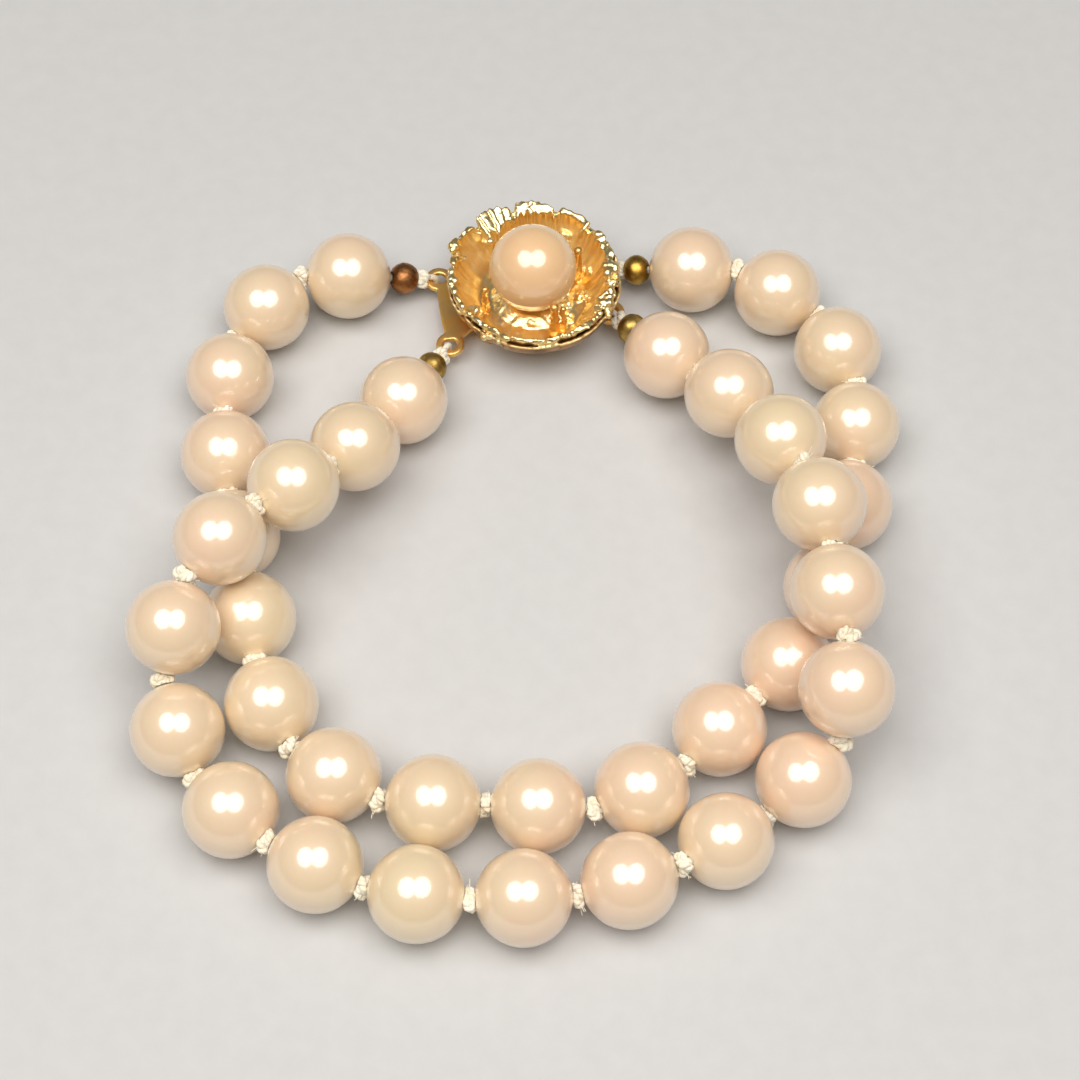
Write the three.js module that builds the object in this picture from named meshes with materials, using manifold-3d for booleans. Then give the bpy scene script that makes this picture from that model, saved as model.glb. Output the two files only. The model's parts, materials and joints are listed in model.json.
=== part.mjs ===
// Two-strand pearl bracelet with a flower clasp, lying on a flat surface.
// Millimetres, +Z up. The clasp's middle is the origin while the pieces are made,
// and at the end the whole is moved so that its base is centred on the origin.

import * as THREE from 'three';
import { mergeVertices } from 'three/addons/utils/BufferGeometryUtils.js';
import Module from 'manifold-3d';

const wasm = await Module();
wasm.setup();

// Strands
const pearlDiameter = 8;
const pearlsPerStrand = 19;
const threadDiameter = 0.6;
const boreClearance = 0.3;
const knotDiameter = 1.9;
const knotGapAtClasp = 0.25;
const knotGapAtMiddle = 0.65;
const knotClearance = 0.05;

// Metal end beads and the knots that tie each strand to the clasp
const endBeadDiameter = 2.9;
const endBeadLength = 2.5;
const endBeadFaceDiameter = 1.9;
const beadClearance = 0.1;
const endKnotDiameter = 1.5;
const endKnotLength = 0.8;
const tieDiameter = 0.44;
const tieClearance = 0.1;

// Clasp
const claspTurn = THREE.MathUtils.degToRad(9);
const claspPearlDiameter = 8;
const boxLength = 11.8;
const boxWidth = 7.2;
const boxHeight = 2.8;
const boxCorner = 1.4;
const boxWall = 0.5;
const boxShift = { x: -0.1, y: 0.4 };
const slidingClearance = 0.3;
const sheetThickness = 0.5;
const eyeHoleDiameter = 1.4;
const eyeWall = 0.5;
const tongueEye = { x: -8.3, y: 4.15 };
const boxEye = { x: 7, y: 2.5 };
const tonguePlateLength = 2.7;
const tonguePlateWidth = 7;
const tongueBladeWidth = 5;
const tongueBladeLength = 9.4;

// Flower on the clasp: a smooth dish below a ring of cupped petals
const petalCount = 9;
const petalWall = 0.5;
const petalNotch = 0.09;
const petalLift = 0.55;
const cupFloorRadius = 4.9;
const petalRim = { radius: 8, height: 6.3 };
const dishRim = { overhang: 0.2, height: 5 };
const dishNotch = 0.04;
const seatClearance = 0.3;
const prongCount = 4;
const prongDiameter = 0.6;
const prongBallDiameter = 0.85;
const prongTurn = THREE.MathUtils.degToRad(16);

// Fineness of the round pieces
const pearlSides = 10;
const pearlRows = 6;
const threadSides = 6;
const eyeSides = 14;
const facetsPerPetal = 6;
const routeSamples = 600;
const scaleSteps = 40;
const turningSteps = 8;

// Chosen points of each strand's way round, from the clasp's left eye to its right eye.
// x and y are read from above for a loop of the nominal size, lift is the height of a
// pearl's middle in pearl diameters: 0.5 lies on the surface, more rides over the other
// strand.
const outerRoute = [
  { x: -17.5, y: 1.5, lift: 0.5 },
  { x: -25.4, y: -2.9, lift: 0.5 },
  { x: -27.7, y: -13.2, lift: 0.5 },
  { x: -25.6, y: -28.5, lift: 0.5 },
  { x: -20.5, y: -46.1, lift: 0.5 },
  { x: -9.9, y: -52.1, lift: 0.5 },
  { x: 5.4, y: -52.3, lift: 0.5 },
  { x: 12.2, y: -48.6, lift: 0.5 },
  { x: 24, y: -35.9, lift: 0.5 },
  { x: 28.9, y: -15.9, lift: 0.5 },
  { x: 27.7, y: -6.4, lift: 0.5 },
  { x: 23.4, y: -0.8, lift: 0.5 },
  { x: 15.3, y: 2.2, lift: 0.5 },
];
const innerRoute = [
  { x: -11.7, y: -12.5, lift: 0.5 },
  { x: -15.8, y: -19.4, lift: 0.85 },
  { x: -20.9, y: -25.7, lift: 1.25 },
  { x: -26.7, y: -31.8, lift: 1.36 },
  { x: -30, y: -38.8, lift: 1.07 },
  { x: -30.1, y: -44.9, lift: 0.6 },
  { x: -21.8, y: -55.6, lift: 0.5 },
  { x: -6.3, y: -60.9, lift: 0.5 },
  { x: 11.5, y: -58.2, lift: 0.5 },
  { x: 22.4, y: -50.3, lift: 0.5 },
  { x: 25.3, y: -48.8, lift: 1.03 },
  { x: 25.5, y: -40.1, lift: 1.35 },
  { x: 23.8, y: -26.1, lift: 1.4 },
  { x: 18.4, y: -14.9, lift: 0.91 },
  { x: 11.5, y: -6.8, lift: 0.5 },
];

// Sizes that follow from the ones above
const pearlRadius = pearlDiameter / 2;
const boreRadius = threadDiameter / 2 + boreClearance;
const eyeRadius = eyeHoleDiameter / 2 + eyeWall;
const eyeHeight = boxHeight - boxWall - slidingClearance - sheetThickness / 2;
const endKnotOffset = eyeRadius + tieClearance + endKnotLength / 2;
const endBeadOffset = pearlRadius + beadClearance + endBeadLength / 2;
const leadLength = endKnotOffset + endKnotLength / 2 + knotClearance + endBeadLength / 2 + endBeadOffset;
const cupFloorTop = boxHeight + petalWall / 2;
const claspPearlHeight = cupFloorTop + seatClearance + claspPearlDiameter / 2;
const up = new THREE.Vector3(0, 0, 1);

// Geometry as one closed solid: shared corners merged, empty triangles dropped
function toSolid(geometry) {
  const bare = geometry.clone();
  bare.deleteAttribute('normal');
  bare.deleteAttribute('uv');
  const merged = mergeVertices(bare, 1e-4);
  const corners = [];
  for (let i = 0; i < merged.index.count; i += 3) {
    const [a, b, c] = [0, 1, 2].map((k) => merged.index.getX(i + k));
    if (a !== b && b !== c && c !== a) corners.push(a, b, c);
  }
  return new wasm.Manifold(new wasm.Mesh({
    numProp: 3,
    vertProperties: merged.attributes.position.array,
    triVerts: Uint32Array.from(corners),
  }));
}

function toGeometry(solid) {
  const mesh = solid.getMesh();
  const geometry = new THREE.BufferGeometry();
  geometry.setAttribute('position', new THREE.BufferAttribute(mesh.vertProperties, 3));
  geometry.setIndex(new THREE.BufferAttribute(mesh.triVerts, 1));
  return geometry;
}

function joined(geometries) {
  return geometries.map(toSolid).reduce((whole, next) => whole.add(next));
}

function latheOf(rows, sides) {
  return new THREE.LatheGeometry(rows.map(([radius, height]) => new THREE.Vector2(radius, height)), sides);
}

// Turns a geometry made along +Y to lie along an axis, with its first side straight up or down
function placedAlong(geometry, middle, axis) {
  const side = new THREE.Vector3().crossVectors(axis, up).normalize();
  const front = new THREE.Vector3().crossVectors(side, axis);
  const matrix = new THREE.Matrix4().makeBasis(side, axis, front).setPosition(middle);
  return geometry.clone().applyMatrix4(matrix);
}

function directionFrom(start, end) {
  return new THREE.Vector3().subVectors(end, start).normalize();
}

// Pearl or bead with a drilled hole along +Y, an ellipse from one hole's edge to the other
function drilledBead(radius, halfLength, faceRadius, holeRadius, rows, sides) {
  const reach = Math.acos(faceRadius / radius);
  const profile = [];
  for (let row = 0; row <= rows; row += 1) {
    const angle = reach * (2 * row / rows - 1);
    profile.push([radius * Math.cos(angle), halfLength * Math.sin(angle) / Math.sin(reach)]);
  }
  if (holeRadius < faceRadius) {
    profile.unshift([holeRadius, -halfLength]);
    profile.push([holeRadius, halfLength]);
  }
  profile.push(profile[0]);
  return latheOf(profile, sides);
}

function drilledPearl() {
  const halfLength = Math.sqrt(pearlRadius ** 2 - boreRadius ** 2);
  return drilledBead(pearlRadius, halfLength, boreRadius, boreRadius, pearlRows, pearlSides);
}

// Distance between neighbouring pearls' middles, widest in the middle of the strand
function pitchAfter(index) {
  const share = (index + 0.5) / (pearlsPerStrand - 1);
  const gap = knotGapAtClasp + (knotGapAtMiddle - knotGapAtClasp) * Math.sin(Math.PI * share);
  return pearlDiameter + gap;
}

// Pearls set one after the other along the way round, each at its distance from the last
function walkedPearls(strand, loopScale) {
  const chosen = strand.route.map(({ x, y, lift }) =>
    new THREE.Vector3(x * loopScale, y * loopScale, lift * pearlDiameter));
  const way = new THREE.CatmullRomCurve3([strand.firstEye, ...chosen, strand.lastEye], false, 'catmullrom');
  const samples = way.getPoints(routeSamples);
  for (const sample of samples) sample.z = Math.max(sample.z, pearlRadius);
  const middles = [];
  let from = strand.firstEye;
  let distance = leadLength;
  let next = 1;
  while (middles.length < pearlsPerStrand) {
    while (next < samples.length - 1 && samples[next].distanceTo(from) < distance) next += 1;
    const near = samples[next - 1].distanceTo(from);
    const far = samples[next].distanceTo(from);
    from = samples[next - 1].clone().lerp(samples[next], (distance - near) / (far - near));
    distance = pitchAfter(middles.length);
    middles.push(from);
  }
  return middles;
}

// One scale for both strands, at which the tighter one's last pearl just clears its end's metal
function solvedLoopScale(strands) {
  let low = 0.4;
  let high = 2.5;
  for (let step = 0; step < scaleSteps; step += 1) {
    const scale = (low + high) / 2;
    const spare = Math.min(...strands.map((strand) =>
      walkedPearls(strand, scale).at(-1).distanceTo(strand.lastEye) - leadLength));
    if (spare > 0) high = scale;
    else low = scale;
  }
  return (low + high) / 2;
}

// The pulled thread turns each pearl until its hole points from the last knot to the next one.
// The end pearls' holes face the clasp's eyes.
function pearlAxes(strand, middles) {
  const last = middles.length - 1;
  const axes = middles.map((middle, index) =>
    directionFrom(middles[Math.max(index - 1, 0)], middles[Math.min(index + 1, last)]));
  axes[0] = directionFrom(strand.firstEye, middles[0]);
  axes[last] = directionFrom(middles[last], strand.lastEye);
  for (let step = 0; step < turningSteps; step += 1) {
    for (let index = 1; index < last; index += 1) {
      axes[index] = directionFrom(
        holeEdges(middles, axes, index - 1).middle, holeEdges(middles, axes, index).middle);
    }
  }
  return axes;
}

// Where the thread leaves one pearl's hole and enters the next one's
function holeEdges(middles, axes, index) {
  const leaving = middles[index].clone().addScaledVector(axes[index], pearlRadius);
  const entering = middles[index + 1].clone().addScaledVector(axes[index + 1], -pearlRadius);
  return { middle: leaving.clone().add(entering).multiplyScalar(0.5), half: leaving.distanceTo(entering) / 2 };
}

// Silk knot between two pearls, as thick as the space between them lets it be
function pearlKnot(middles, axes, index) {
  const { middle } = holeEdges(middles, axes, index);
  const chord = directionFrom(middles[index], middles[index + 1]);
  const between = middles[index].clone().add(middles[index + 1]).multiplyScalar(0.5);
  const rim = knotDiameter / 2;
  const nearest = Math.max(0, middle.distanceTo(between) - rim);
  const half = middles[index].distanceTo(middles[index + 1]) / 2
    - Math.sqrt(pearlRadius ** 2 - nearest ** 2) - knotClearance;
  return placedAlong(latheOf([[0, -half], [rim, 0], [0, half]], threadSides), middle, chord);
}

// Thread straight through one pearl, reaching into the knots at both ends
function threadPiece(start, end) {
  const middle = start.clone().add(end).multiplyScalar(0.5);
  const piece = new THREE.CylinderGeometry(threadDiameter / 2, threadDiameter / 2, start.distanceTo(end), threadSides);
  return placedAlong(piece, middle, directionFrom(start, end));
}

// Middle of the knot that ties a strand's end, against the end bead
function endKnotMiddle(eye, pearlMiddle) {
  const offset = endBeadOffset + endBeadLength / 2 + knotClearance + endKnotLength / 2;
  return pearlMiddle.clone().addScaledVector(directionFrom(eye, pearlMiddle), -offset);
}

// Knot at a strand's end, and the thread's tie from it through the clasp's eye
function endTie(eye, pearlMiddle) {
  const half = endKnotLength / 2;
  const rim = endKnotDiameter / 2;
  const profile = [[0, -half], [rim, -half / 2], [rim, half / 2], [0, half]];
  const knot = placedAlong(
    latheOf(profile, threadSides), endKnotMiddle(eye, pearlMiddle), directionFrom(eye, pearlMiddle));
  const level = directionFrom(eye, pearlMiddle).setZ(0).normalize();
  const wallMiddle = eyeHoleDiameter / 2 + eyeWall / 2;
  const wallHalf = Math.hypot(eyeWall, sheetThickness) / 2;
  const tieRadius = wallHalf + tieClearance + tieDiameter / 2;
  const matrix = new THREE.Matrix4().makeBasis(level, up, new THREE.Vector3().crossVectors(level, up));
  matrix.setPosition(eye.clone().addScaledVector(level, wallMiddle));
  const tie = new THREE.TorusGeometry(tieRadius, tieDiameter / 2, threadSides - 1, 2 * threadSides);
  return [knot, tie.applyMatrix4(matrix)];
}

// Whole thread of a strand: straight through every pearl, knotted between them, tied at both ends
function strandThread(strand, middles, axes) {
  const last = middles.length - 1;
  const reach = (knot) => pearlRadius + holeEdges(middles, axes, knot).half;
  const pieces = [
    ...endTie(strand.firstEye, middles[0]),
    ...endTie(strand.lastEye, middles[last]),
  ];
  middles.forEach((middle, index) => {
    const start = index === 0
      ? endKnotMiddle(strand.firstEye, middle)
      : middle.clone().addScaledVector(axes[index], -reach(index - 1));
    const end = index === last
      ? endKnotMiddle(strand.lastEye, middle)
      : middle.clone().addScaledVector(axes[index], reach(index));
    pieces.push(threadPiece(start, end));
    if (index < last) pieces.push(pearlKnot(middles, axes, index));
  });
  return toGeometry(joined(pieces));
}

// Flat plate with an outline in x and y, from one height to another
function plate(outline, bottom, top) {
  const geometry = new THREE.ExtrudeGeometry(outline, {
    depth: top - bottom,
    bevelEnabled: false,
    curveSegments: 4,
  });
  return geometry.translate(0, 0, bottom);
}

function roundedOutline(length, width, corner, shiftX = 0, shiftY = 0) {
  const x = length / 2 - corner;
  const y = width / 2 - corner;
  const outline = new THREE.Shape();
  outline.absarc(shiftX + x, shiftY - y, corner, -Math.PI / 2, 0);
  outline.absarc(shiftX + x, shiftY + y, corner, 0, Math.PI / 2);
  outline.absarc(shiftX - x, shiftY + y, corner, Math.PI / 2, Math.PI);
  outline.absarc(shiftX - x, shiftY - y, corner, Math.PI, 1.5 * Math.PI);
  return outline;
}

function upright(radius, bottom, top, sides, x = 0, y = 0) {
  return new THREE.CylinderGeometry(radius, radius, top - bottom, sides)
    .rotateX(Math.PI / 2)
    .translate(x, y, (bottom + top) / 2);
}

function eyeDiscs(eye) {
  return [-1, 1].map((side) =>
    upright(eyeRadius, eyeHeight - sheetThickness / 2, eyeHeight + sheetThickness / 2, eyeSides, eye.x, boxShift.y + side * eye.y));
}

function eyeHoles(eye) {
  return joined([-1, 1].map((side) =>
    upright(eyeHoleDiameter / 2, eyeHeight - sheetThickness, eyeHeight + sheetThickness, eyeSides, eye.x, boxShift.y + side * eye.y)));
}

// Tongue: a plate with two eyes outside the box, and a folded spring blade inside it
function claspTongue() {
  const bottom = eyeHeight - sheetThickness / 2;
  const top = eyeHeight + sheetThickness / 2;
  const boxLeft = boxShift.x - boxLength / 2;
  const plateRight = boxLeft - slidingClearance;
  const plateOutline = roundedOutline(
    tonguePlateLength, tonguePlateWidth, sheetThickness, plateRight - tonguePlateLength / 2, boxShift.y);
  const bladeStart = plateRight - tonguePlateLength / 2;
  const bladeEnd = boxLeft + tongueBladeLength;
  const bladeMiddle = (bladeStart + bladeEnd) / 2;
  const leafBottom = boxWall + slidingClearance;
  const foldLength = 2 * sheetThickness;
  const leafStart = boxLeft + foldLength;
  const blade = new THREE.BoxGeometry(bladeEnd - bladeStart, tongueBladeWidth, sheetThickness)
    .translate(bladeMiddle, boxShift.y, eyeHeight);
  const fold = new THREE.BoxGeometry(foldLength, tongueBladeWidth, top - leafBottom)
    .translate(bladeEnd - foldLength / 2, boxShift.y, (top + leafBottom) / 2);
  const leaf = new THREE.BoxGeometry(bladeEnd - leafStart, tongueBladeWidth, sheetThickness / 2)
    .translate((bladeEnd + leafStart) / 2, boxShift.y, leafBottom + sheetThickness / 4);
  const solid = joined([plate(plateOutline, bottom, top), blade, fold, leaf, ...eyeDiscs(tongueEye)]);
  return toGeometry(solid.subtract(eyeHoles(tongueEye)));
}

// Hollow box open at the tongue's end, with two eyes on the other end
function boxPieces() {
  const outline = roundedOutline(boxLength, boxWidth, boxCorner, boxShift.x, boxShift.y);
  const boxRight = boxShift.x + boxLength / 2;
  const earLength = boxEye.x - boxRight + boxWall;
  const ears = new THREE.BoxGeometry(earLength, 2 * boxEye.y + eyeRadius, sheetThickness)
    .translate(boxEye.x - earLength / 2, boxShift.y, eyeHeight);
  return [plate(outline, 0, boxHeight), ears, ...eyeDiscs(boxEye)];
}

function boxPocket() {
  const width = tongueBladeWidth + 2 * slidingClearance;
  const boxLeft = boxShift.x - boxLength / 2;
  const end = boxLeft + tongueBladeLength + slidingClearance;
  const start = boxLeft - boxWall;
  return new THREE.BoxGeometry(end - start, width, boxHeight - 2 * boxWall)
    .translate((start + end) / 2, boxShift.y, boxHeight / 2);
}

// Turned wall whose rim is pushed into lobes: out and up at each petal, in at each notch
function lobedRing(profile, rimRadius, base, notch, lift, turn) {
  const geometry = latheOf(profile, petalCount * facetsPerPetal).rotateX(Math.PI / 2);
  const corners = geometry.attributes.position;
  for (let i = 0; i < corners.count; i += 1) {
    const x = corners.getX(i);
    const y = corners.getY(i);
    const share = THREE.MathUtils.clamp((Math.hypot(x, y) - base) / (rimRadius - base), 0, 1);
    const lobe = Math.abs(Math.sin(petalCount * (Math.atan2(x, -y) / 2)));
    const widen = 1 - notch * share * (1 - lobe);
    corners.setXYZ(i, x * widen, y * widen, corners.getZ(i) + lift * share ** 2 * lobe);
  }
  return geometry.rotateZ(turn);
}

function petalRing() {
  const floorBottom = cupFloorTop - petalWall;
  const belly = { radius: (cupFloorRadius + petalRim.radius) / 2 + petalWall, height: (cupFloorTop + petalRim.height) / 2 };
  const profile = [
    [0, floorBottom],
    [cupFloorRadius, floorBottom],
    [belly.radius, belly.height - petalWall],
    [petalRim.radius, petalRim.height - petalWall],
    [petalRim.radius, petalRim.height],
    [belly.radius - petalWall, belly.height],
    [cupFloorRadius, cupFloorTop],
    [0, cupFloorTop],
  ];
  return lobedRing(profile, petalRim.radius, cupFloorRadius, petalNotch, petalLift, 0);
}

function dish() {
  const bottom = cupFloorTop - petalWall - boxWall;
  const rise = dishRim.height - bottom;
  const rimRadius = petalRim.radius + dishRim.overhang;
  const rows = 4;
  const under = [];
  const over = [];
  for (let row = 0; row <= rows; row += 1) {
    const angle = (Math.PI / 2) * (row / rows);
    const radius = rimRadius * Math.sin(angle);
    under.push([radius, dishRim.height - rise * Math.cos(angle)]);
    over.unshift([Math.max(0, radius - petalWall), dishRim.height - (rise - petalWall) * Math.cos(angle)]);
  }
  over[over.length - 1][0] = 0;
  return lobedRing([...under, ...over], rimRadius, cupFloorRadius, dishNotch, 0, Math.PI / petalCount);
}

function prongs() {
  const radius = claspPearlDiameter / 2 + slidingClearance + prongBallDiameter / 2;
  const pieces = [];
  for (let index = 0; index < prongCount; index += 1) {
    const angle = prongTurn + (2 * Math.PI * index) / prongCount;
    const x = radius * Math.cos(angle);
    const y = radius * Math.sin(angle);
    pieces.push(upright(prongDiameter / 2, cupFloorTop - petalWall / 2, claspPearlHeight, threadSides, x, y));
    pieces.push(new THREE.SphereGeometry(prongBallDiameter / 2, 8, 6).translate(x, y, claspPearlHeight));
  }
  return pieces;
}

function claspFlowerBox() {
  const solid = joined([...boxPieces(), dish(), petalRing(), ...prongs()]);
  return toGeometry(solid.subtract(eyeHoles(boxEye)).subtract(toSolid(boxPocket())));
}

// Where a strand's end is tied, in the bracelet's own directions
function eyePoint(eye, side) {
  return new THREE.Vector3(eye.x, boxShift.y + side * eye.y, eyeHeight).applyAxisAngle(up, claspTurn);
}

const pearlFinish = new THREE.MeshStandardMaterial({ color: 0xf3e3d2, roughness: 0.25, metalness: 0 });
const silkFinish = new THREE.MeshStandardMaterial({ color: 0xf6f1e6, roughness: 0.9, metalness: 0 });
const goldFinish = new THREE.MeshStandardMaterial({ color: 0xd9a441, roughness: 0.25, metalness: 1 });
const bronzeFinish = new THREE.MeshStandardMaterial({ color: 0x8f6d2c, roughness: 0.4, metalness: 1 });

const bracelet = new THREE.Group();

function addPiece(name, geometry, material, parent = bracelet) {
  const mesh = new THREE.Mesh(geometry, material);
  mesh.name = name;
  parent.add(mesh);
}

const strands = [
  { name: 'a', route: outerRoute, firstEye: eyePoint(tongueEye, 1), lastEye: eyePoint(boxEye, 1) },
  { name: 'b', route: innerRoute, firstEye: eyePoint(tongueEye, -1), lastEye: eyePoint(boxEye, -1) },
];
const loopScale = solvedLoopScale(strands);

for (const strand of strands) {
  const middles = walkedPearls(strand, loopScale);
  const axes = pearlAxes(strand, middles);
  middles.forEach((middle, index) => {
    const number = String(index + 1).padStart(2, '0');
    addPiece(`pearl_${strand.name}_${number}`, placedAlong(drilledPearl(), middle, axes[index]), pearlFinish);
  });
  const ends = [
    { side: 'left', eye: strand.firstEye, middle: middles[0] },
    { side: 'right', eye: strand.lastEye, middle: middles.at(-1) },
  ];
  for (const end of ends) {
    const outward = directionFrom(end.eye, end.middle);
    const beadMiddle = end.middle.clone().addScaledVector(outward, -endBeadOffset);
    const bead = drilledBead(
      endBeadDiameter / 2, endBeadLength / 2, endBeadFaceDiameter / 2, boreRadius, pearlRows - 2, pearlSides);
    addPiece(`end_bead_${strand.name}_${end.side}`, placedAlong(bead, beadMiddle, outward), bronzeFinish);
  }
  addPiece(`thread_${strand.name}`, strandThread(strand, middles, axes), silkFinish);
}

const clasp = new THREE.Group();
clasp.rotation.z = claspTurn;
bracelet.add(clasp);
addPiece('clasp_flower_box', claspFlowerBox(), goldFinish, clasp);
addPiece('clasp_tongue', claspTongue(), goldFinish, clasp);
addPiece(
  'clasp_pearl',
  new THREE.SphereGeometry(claspPearlDiameter / 2, pearlSides, pearlRows + 2)
    .rotateX(Math.PI / 2)
    .translate(0, 0, claspPearlHeight),
  pearlFinish,
  clasp,
);

const extent = new THREE.Box3().setFromObject(bracelet, true);
const middle = extent.getCenter(new THREE.Vector3());
bracelet.position.set(-middle.x, -middle.y, -extent.min.z);

export default bracelet;
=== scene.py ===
"""Two-strand pearl bracelet with a gilt flower clasp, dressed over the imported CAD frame.

Everything is in metres in the frame's own axes: +Z up from the surface, +Y towards the
clasp. The script makes the pearls, the knotted silk, the end beads and the flower clasp,
then a pale floor, soft lamps and the camera.
"""

import json
import logging
import random
from collections.abc import Callable, Iterator, Sequence
from contextlib import contextmanager
from dataclasses import dataclass, field
from enum import Enum
from itertools import pairwise
from math import atan2, copysign, cos, degrees, exp, hypot, pi, radians, sin

import bmesh
import bpy
from mathutils import Matrix, Vector
from mathutils.bvhtree import BVHTree
from mathutils.noise import noise

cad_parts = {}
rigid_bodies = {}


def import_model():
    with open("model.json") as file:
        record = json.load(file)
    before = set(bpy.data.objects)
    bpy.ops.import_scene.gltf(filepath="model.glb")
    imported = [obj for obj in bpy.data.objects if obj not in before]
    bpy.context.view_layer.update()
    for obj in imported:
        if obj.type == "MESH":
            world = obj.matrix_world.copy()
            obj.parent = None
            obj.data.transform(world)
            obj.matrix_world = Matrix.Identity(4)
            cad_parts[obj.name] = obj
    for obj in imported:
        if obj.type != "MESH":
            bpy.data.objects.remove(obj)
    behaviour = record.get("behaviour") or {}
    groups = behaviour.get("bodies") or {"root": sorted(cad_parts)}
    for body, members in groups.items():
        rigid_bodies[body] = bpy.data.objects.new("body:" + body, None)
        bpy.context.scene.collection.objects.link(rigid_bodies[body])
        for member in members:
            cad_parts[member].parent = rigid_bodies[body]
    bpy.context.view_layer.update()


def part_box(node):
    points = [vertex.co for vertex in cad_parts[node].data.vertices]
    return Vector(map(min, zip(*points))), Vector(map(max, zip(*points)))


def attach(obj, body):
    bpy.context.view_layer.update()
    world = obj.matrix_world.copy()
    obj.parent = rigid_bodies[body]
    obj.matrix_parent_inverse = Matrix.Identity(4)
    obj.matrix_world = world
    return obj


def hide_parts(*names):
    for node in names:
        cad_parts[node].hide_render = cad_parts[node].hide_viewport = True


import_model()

Piece = bpy.types.Object
Material = bpy.types.Material
Node = bpy.types.Node
Tree = bpy.types.NodeTree
Socket = bpy.types.NodeSocket

MM = 0.001
BODY = "root"
UP = Vector((0.0, 0.0, 1.0))
ANY_TURN = (0, 6.28)
ANYWHERE = (0, 50)
log = logging.getLogger("bracelet")


class Slot(Enum):
    """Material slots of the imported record."""

    PEARL = "pearl"
    CLASP_PEARL = "clasp_pearl"
    SILK = "silk"
    END_BEAD = "end_bead_metal"
    GOLD = "clasp_gold"


# Materials


def linear(code: str) -> tuple[float, float, float, float]:
    """Turns an sRGB hex colour to linear RGBA.

    Args:
        code: Colour such as "#E3A53F".

    Returns:
        Red, green, blue and an alpha of 1.
    """
    shares = [int(code[i : i + 2], 16) / 255 for i in (1, 3, 5)]
    red, green, blue = (s / 12.92 if s <= 0.04045 else ((s + 0.055) / 1.055) ** 2.4 for s in shares)
    return red, green, blue, 1.0


def per(size: float) -> float:
    """Scale at which a pattern on Object coordinates repeats once in a real size in metres."""
    return 1.0 / size


def add_node(tree: Tree, kind: str, settings: dict[str, object] | None = None, **sockets: object) -> Node:
    """Adds one node, sets its properties and fills its inputs.

    Args:
        tree: Node tree that gets the node.
        kind: Blender's node type, without its "ShaderNode".
        settings: Properties of the node, and under "stops" a colour ramp's places and hex colours.
        sockets: Input names with spaces as underscores, or i and a number. Each is a value, an
            output to link, or a node whose first output is linked.

    Returns:
        The new node.
    """
    node = tree.nodes.new(f"ShaderNode{kind}")
    for name, value in (settings or {}).items():
        if name != "stops":
            setattr(node, name, value)
            continue
        elements = node.color_ramp.elements
        while len(elements) < len(value):
            elements.new(0.5)
        for element, (place, code) in zip(elements, value):
            element.position, element.color = place, linear(code)
    for name, value in sockets.items():
        numbered = name[0] == "i" and name[1:].isdigit()
        socket = node.inputs[int(name[1:]) if numbered else name.replace("_", " ")]
        if isinstance(value, Node):
            value = value.outputs[0]
        if isinstance(value, Socket):
            tree.links.new(value, socket)
        else:
            socket.default_value = value
    return node


@dataclass(frozen=True)
class Finish:
    """A real material, drawn by procedural nodes on Object coordinates."""

    name: str

    def shader(self, tree: Tree, place: Socket) -> Node:
        """Adds the material's own nodes.

        Args:
            tree: Node tree of the material.
            place: Object coordinates that its patterns read.

        Returns:
            The shader.
        """
        raise NotImplementedError

    def build(self) -> Material:
        """Makes the material.

        Returns:
            The finished material.
        """
        material = bpy.data.materials.new(self.name)
        material.use_nodes = True
        tree = material.node_tree
        tree.nodes.clear()
        place = add_node(tree, "TexCoord").outputs["Object"]
        add_node(tree, "OutputMaterial", Surface=self.shader(tree, place))
        return material


@dataclass(frozen=True)
class Nacre(Finish):
    """Nacre: thin clear layers give the eye a glow from below and a sharp light on a soft one."""

    ivory: str
    blush: str
    cool: str

    def shader(self, tree: Tree, place: Socket) -> Node:
        """Adds the nacre's nodes; see Finish."""
        # Each pearl has its own cast, and clouds of it drift across one pearl
        cast = add_node(tree, "TexNoise", Vector=place, Scale=per(17 * MM), Detail=1.0, Roughness=0.4)
        cloud = add_node(tree, "TexNoise", Vector=place, Scale=per(3.2 * MM), Detail=3.0, Roughness=0.55)
        mixed = add_node(tree, "Math", {"operation": "MULTIPLY_ADD"}, i0=cloud, i1=0.35, i2=cast)
        stops = [(0.46, self.cool), (0.66, self.ivory), (0.86, self.blush)]
        colour = add_node(tree, "ValToRGB", {"stops": stops}, Fac=mixed)
        # Growth marks and shallow pits in the skin, under a millimetre apart
        smoothed = {"feature": "SMOOTH_F1"}
        pits = add_node(tree, "TexVoronoi", smoothed, Vector=place, Scale=per(0.75 * MM), Smoothness=0.7)
        waves = add_node(tree, "TexNoise", Vector=place, Scale=per(1.6 * MM), Detail=2.0)
        skin = add_node(tree, "Math", {"operation": "MULTIPLY_ADD"}, i0=pits, i1=0.25, i2=waves)
        bump = add_node(tree, "Bump", Strength=0.10, Distance=0.06 * MM, Height=skin)
        return add_node(
            tree, "BsdfPrincipled", Base_Color=colour, Normal=bump, Roughness=0.36, IOR=1.66,
            Subsurface_Weight=0.22, Subsurface_Scale=1.0 * MM, Subsurface_Radius=(1.0, 0.62, 0.38),
            Coat_Weight=1.0, Coat_Roughness=0.13, Coat_IOR=2.0, Sheen_Weight=0.12, Sheen_Roughness=0.4)


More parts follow.
